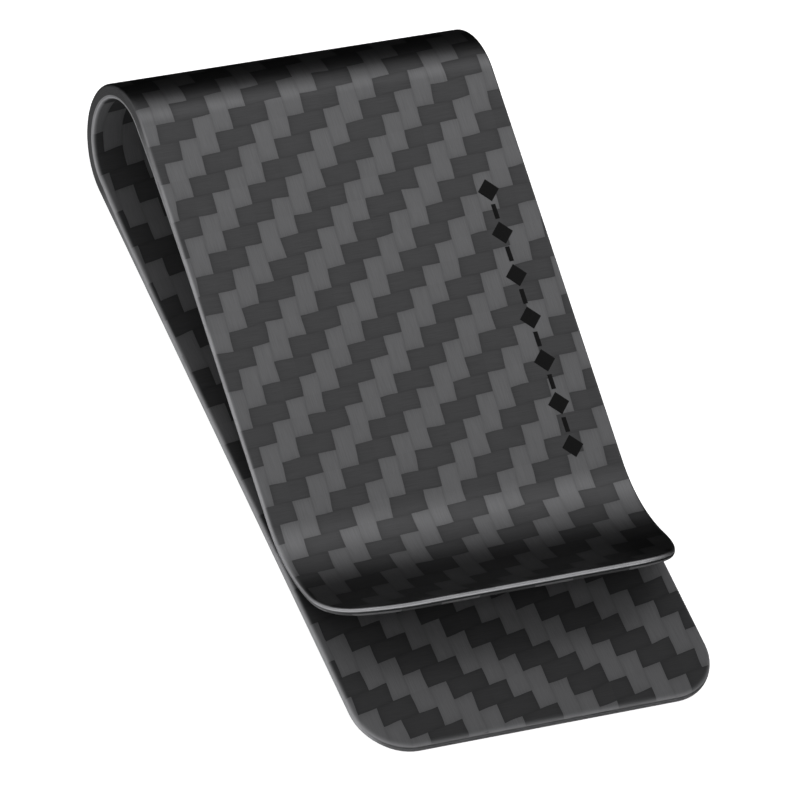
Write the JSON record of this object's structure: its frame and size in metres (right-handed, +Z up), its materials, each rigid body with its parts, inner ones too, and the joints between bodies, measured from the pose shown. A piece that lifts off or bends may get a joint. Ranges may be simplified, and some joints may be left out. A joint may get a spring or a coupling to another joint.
{
  "type": "money clip",
  "caption": "Teardrop spring money clip: a flat base leg, a round bow and a closing clamp leg with an upturned lip, laid up from carbon fibre plies.",
  "frame": {"origin": "middle of the footprint on the underside of the base leg, where the clip rests", "axes": "+Z up through the laminate of the base leg, +Y along the length towards the bow (the jaw opens at -Y), +X across the width"},
  "size_m": [0.04, 0.0772, 0.0135],
  "materials": {
    "twill_face": "matte clear coat over carbon fibre 2x2 twill",
    "twill_lining": "matte clear coat over carbon fibre 2x2 twill",
    "core_laminate": "cut and sealed edge of straight-fibre carbon laminate",
    "ink": "black printed ink, matte"
  },
  "bodies": {
    "base": {"base_outer_face_ply": "twill_face", "base_outer_core_ply": "core_laminate", "base_bow_ply_1": "core_laminate", "base_bow_ply_2": "core_laminate", "base_bow_ply_3": "core_laminate", "base_bow_ply_4": "core_laminate", "base_inner_core_ply": "core_laminate", "base_inner_face_ply": "twill_lining"},
    "clamp": {"clamp_outer_face_ply": "twill_face", "clamp_outer_core_ply": "core_laminate", "clamp_bow_ply_1": "core_laminate", "clamp_bow_ply_2": "core_laminate", "clamp_bow_ply_3": "core_laminate", "clamp_bow_ply_4": "core_laminate", "clamp_inner_core_ply": "core_laminate", "clamp_inner_face_ply": "twill_lining", "printed_mark": "ink"}
  },
  "joints": [
    {"name": "jaw_flex", "type": "hinge", "parent": "base", "child": "clamp", "pos_m": [0, 0.03782, 0.00675], "axis": [-1, 0, 0], "range_deg": [0, 10], "stiffness_Nm_per_rad": 5, "springref_deg": -1.72}
  ]
}
